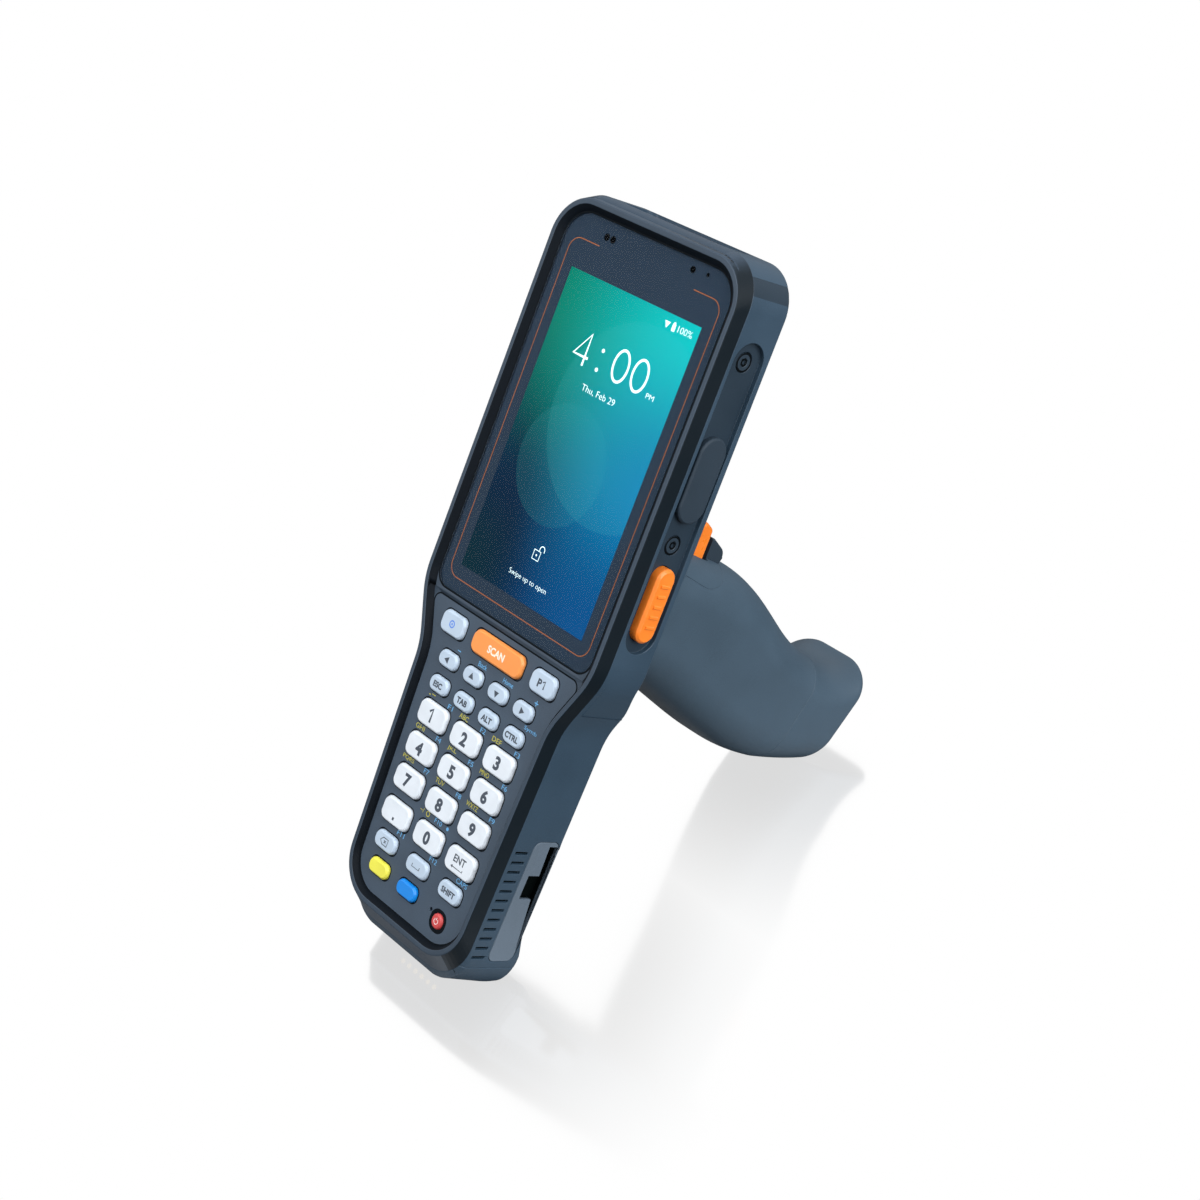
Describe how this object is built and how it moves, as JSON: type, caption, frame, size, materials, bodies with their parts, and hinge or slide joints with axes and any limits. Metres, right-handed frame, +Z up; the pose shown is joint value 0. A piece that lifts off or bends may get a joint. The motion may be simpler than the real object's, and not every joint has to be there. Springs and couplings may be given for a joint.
{
  "type": "handheld barcode terminal",
  "caption": "Rugged handheld data terminal with touch screen, raised keypad, side scan buttons and a pistol grip with a trigger.",
  "frame": {"origin": "on the floor, under the middle of the standing terminal", "axes": "+Z up from the floor; +X to the right of the screen; the screen faces -Y and up, and the grip is behind it"},
  "size_m": [0.0816, 0.1844, 0.2021],
  "materials": {
    "housing": "satin",
    "cap": "satin",
    "rim": "satin",
    "plate": "satin",
    "rubber": "matte",
    "glass": "polished",
    "window": "polished",
    "display": "gloss",
    "board": "matte",
    "silicone": "matte",
    "black": "matte",
    "insert": "satin",
    "steel": "brushed",
    "contact": "polished",
    "orange": "satin",
    "key_white": "satin",
    "key_grey": "satin",
    "yellow": "satin",
    "blue": "satin",
    "red": "satin"
  },
  "bodies": {
    "body": {"battery_pack": "cap", "body_screws": "steel", "bottom_cap": "cap", "display_module": "display", "dock_contacts": "contact", "front_housing": "rim", "grip_collar": "cap", "grip_heel": "cap", "grip_shell_left": "housing", "grip_shell_right": "housing", "key_mat": "silicone", "keypad_plate": "plate", "main_board": "board", "rear_housing": "housing", "scan_engine": "black", "scan_window": "window", "side_inserts": "insert", "side_screws": "steel", "top_cap": "cap", "touch_glass": "glass", "trigger_frame": "housing", "trigger_guard": "rubber", "trigger_pin": "steel", "trigger_spring": "steel", "trigger_switch": "black", "usb_port": "steel"},
    "trigger": {"trigger": "orange"},
    "port_cover": {"port_cover": "rubber"},
    "side_button_right": {"side_button_right": "orange"},
    "side_button_left": {"side_button_left": "orange"},
    "battery_latch": {"battery_latch": "black"},
    "key_0": {"key_0": "key_white"},
    "key_1": {"key_1": "key_white"},
    "key_2": {"key_2": "key_white"},
    "key_3": {"key_3": "key_white"},
    "key_4": {"key_4": "key_white"},
    "key_5": {"key_5": "key_white"},
    "key_6": {"key_6": "key_white"},
    "key_7": {"key_7": "key_white"},
    "key_8": {"key_8": "key_white"},
    "key_9": {"key_9": "key_white"},
    "key_alt": {"key_alt": "key_grey"},
    "key_blue": {"key_blue": "blue"},
    "key_ctrl": {"key_ctrl": "key_grey"},
    "key_delete": {"key_delete": "key_grey"},
    "key_dot": {"key_dot": "key_white"},
    "key_down": {"key_down": "key_grey"},
    "key_enter": {"key_enter": "key_white"},
    "key_esc": {"key_esc": "key_grey"},
    "key_home": {"key_home": "key_grey"},
    "key_left": {"key_left": "key_grey"},
    "key_power": {"key_power": "red"},
    "key_program": {"key_program": "key_grey"},
    "key_right": {"key_right": "key_grey"},
    "key_scan": {"key_scan": "orange"},
    "key_shift": {"key_shift": "key_grey"},
    "key_space": {"key_space": "key_grey"},
    "key_tab": {"key_tab": "key_grey"},
    "key_up": {"key_up": "key_grey"},
    "key_yellow": {"key_yellow": "yellow"}
  },
  "joints": [
    {"name": "trigger_pull", "type": "hinge", "parent": "body", "child": "trigger", "pos_m": [0, 0.00812, 0.11032], "axis": [-1, 0, 0], "range_deg": [0, 8], "stiffness_Nm_per_rad": 1, "springref_deg": -5.73},
    {"name": "port_cover_hinge", "type": "hinge", "parent": "body", "child": "port_cover", "pos_m": [0.0399, -0.00135, 0.13463], "axis": [0, 0.838, -0.5457], "range_deg": [0, 110]},
    {"name": "side_button_right_press", "type": "slide", "parent": "body", "child": "side_button_right", "axis": [-1, 0, 0], "range_m": [0, 0.0008], "stiffness_N_per_m": 900, "springref_m": -0.0008},
    {"name": "side_button_left_press", "type": "slide", "parent": "body", "child": "side_button_left", "axis": [1, 0, 0], "range_m": [0, 0.0008], "stiffness_N_per_m": 900, "springref_m": -0.0008},
    {"name": "battery_latch_slide", "type": "slide", "parent": "body", "child": "battery_latch", "axis": [0, 0.5457, 0.838], "range_m": [0, 0.0026], "stiffness_N_per_m": 400, "springref_m": -0.002},
    {"name": "key_0_press", "type": "slide", "parent": "body", "child": "key_0", "axis": [0, 0.838, -0.5457], "range_m": [0, 0.001], "stiffness_N_per_m": 500, "springref_m": -0.0008},
    {"name": "key_1_press", "type": "slide", "parent": "body", "child": "key_1", "axis": [0, 0.838, -0.5457], "range_m": [0, 0.001], "stiffness_N_per_m": 500, "springref_m": -0.0008},
    {"name": "key_2_press", "type": "slide", "parent": "body", "child": "key_2", "axis": [0, 0.838, -0.5457], "range_m": [0, 0.001], "stiffness_N_per_m": 500, "springref_m": -0.0008},
    {"name": "key_3_press", "type": "slide", "parent": "body", "child": "key_3", "axis": [0, 0.838, -0.5457], "range_m": [0, 0.001], "stiffness_N_per_m": 500, "springref_m": -0.0008},
    {"name": "key_4_press", "type": "slide", "parent": "body", "child": "key_4", "axis": [0, 0.838, -0.5457], "range_m": [0, 0.001], "stiffness_N_per_m": 500, "springref_m": -0.0008},
    {"name": "key_5_press", "type": "slide", "parent": "body", "child": "key_5", "axis": [0, 0.838, -0.5457], "range_m": [0, 0.001], "stiffness_N_per_m": 500, "springref_m": -0.0008},
    {"name": "key_6_press", "type": "slide", "parent": "body", "child": "key_6", "axis": [0, 0.838, -0.5457], "range_m": [0, 0.001], "stiffness_N_per_m": 500, "springref_m": -0.0008},
    {"name": "key_7_press", "type": "slide", "parent": "body", "child": "key_7", "axis": [0, 0.838, -0.5457], "range_m": [0, 0.001], "stiffness_N_per_m": 500, "springref_m": -0.0008},
    {"name": "key_8_press", "type": "slide", "parent": "body", "child": "key_8", "axis": [0, 0.838, -0.5457], "range_m": [0, 0.001], "stiffness_N_per_m": 500, "springref_m": -0.0008},
    {"name": "key_9_press", "type": "slide", "parent": "body", "child": "key_9", "axis": [0, 0.838, -0.5457], "range_m": [0, 0.001], "stiffness_N_per_m": 500, "springref_m": -0.0008},
    {"name": "key_alt_press", "type": "slide", "parent": "body", "child": "key_alt", "axis": [0, 0.838, -0.5457], "range_m": [0, 0.001], "stiffness_N_per_m": 500, "springref_m": -0.0008},
    {"name": "key_blue_press", "type": "slide", "parent": "body", "child": "key_blue", "axis": [0, 0.838, -0.5457], "range_m": [0, 0.001], "stiffness_N_per_m": 500, "springref_m": -0.0008},
    {"name": "key_ctrl_press", "type": "slide", "parent": "body", "child": "key_ctrl", "axis": [0, 0.838, -0.5457], "range_m": [0, 0.001], "stiffness_N_per_m": 500, "springref_m": -0.0008},
    {"name": "key_delete_press", "type": "slide", "parent": "body", "child": "key_delete", "axis": [0, 0.838, -0.5457], "range_m": [0, 0.001], "stiffness_N_per_m": 500, "springref_m": -0.0008},
    {"name": "key_dot_press", "type": "slide", "parent": "body", "child": "key_dot", "axis": [0, 0.838, -0.5457], "range_m": [0, 0.001], "stiffness_N_per_m": 500, "springref_m": -0.0008},
    {"name": "key_down_press", "type": "slide", "parent": "body", "child": "key_down", "axis": [0, 0.838, -0.5457], "range_m": [0, 0.001], "stiffness_N_per_m": 500, "springref_m": -0.0008},
    {"name": "key_enter_press", "type": "slide", "parent": "body", "child": "key_enter", "axis": [0, 0.838, -0.5457], "range_m": [0, 0.001], "stiffness_N_per_m": 500, "springref_m": -0.0008},
    {"name": "key_esc_press", "type": "slide", "parent": "body", "child": "key_esc", "axis": [0, 0.838, -0.5457], "range_m": [0, 0.001], "stiffness_N_per_m": 500, "springref_m": -0.0008},
    {"name": "key_home_press", "type": "slide", "parent": "body", "child": "key_home", "axis": [0, 0.838, -0.5457], "range_m": [0, 0.001], "stiffness_N_per_m": 500, "springref_m": -0.0008},
    {"name": "key_left_press", "type": "slide", "parent": "body", "child": "key_left", "axis": [0, 0.838, -0.5457], "range_m": [0, 0.001], "stiffness_N_per_m": 500, "springref_m": -0.0008},
    {"name": "key_power_press", "type": "slide", "parent": "body", "child": "key_power", "axis": [0, 0.838, -0.5457], "range_m": [0, 0.0006], "stiffness_N_per_m": 500, "springref_m": -0.0008},
    {"name": "key_program_press", "type": "slide", "parent": "body", "child": "key_program", "axis": [0, 0.838, -0.5457], "range_m": [0, 0.001], "stiffness_N_per_m": 500, "springref_m": -0.0008},
    {"name": "key_right_press", "type": "slide", "parent": "body", "child": "key_right", "axis": [0, 0.838, -0.5457], "range_m": [0, 0.001], "stiffness_N_per_m": 500, "springref_m": -0.0008},
    {"name": "key_scan_press", "type": "slide", "parent": "body", "child": "key_scan", "axis": [0, 0.838, -0.5457], "range_m": [0, 0.001], "stiffness_N_per_m": 500, "springref_m": -0.0008},
    {"name": "key_shift_press", "type": "slide", "parent": "body", "child": "key_shift", "axis": [0, 0.838, -0.5457], "range_m": [0, 0.001], "stiffness_N_per_m": 500, "springref_m": -0.0008},
    {"name": "key_space_press", "type": "slide", "parent": "body", "child": "key_space", "axis": [0, 0.838, -0.5457], "range_m": [0, 0.001], "stiffness_N_per_m": 500, "springref_m": -0.0008},
    {"name": "key_tab_press", "type": "slide", "parent": "body", "child": "key_tab", "axis": [0, 0.838, -0.5457], "range_m": [0, 0.001], "stiffness_N_per_m": 500, "springref_m": -0.0008},
    {"name": "key_up_press", "type": "slide", "parent": "body", "child": "key_up", "axis": [0, 0.838, -0.5457], "range_m": [0, 0.001], "stiffness_N_per_m": 500, "springref_m": -0.0008},
    {"name": "key_yellow_press", "type": "slide", "parent": "body", "child": "key_yellow", "axis": [0, 0.838, -0.5457], "range_m": [0, 0.001], "stiffness_N_per_m": 500, "springref_m": -0.0008}
  ]
}
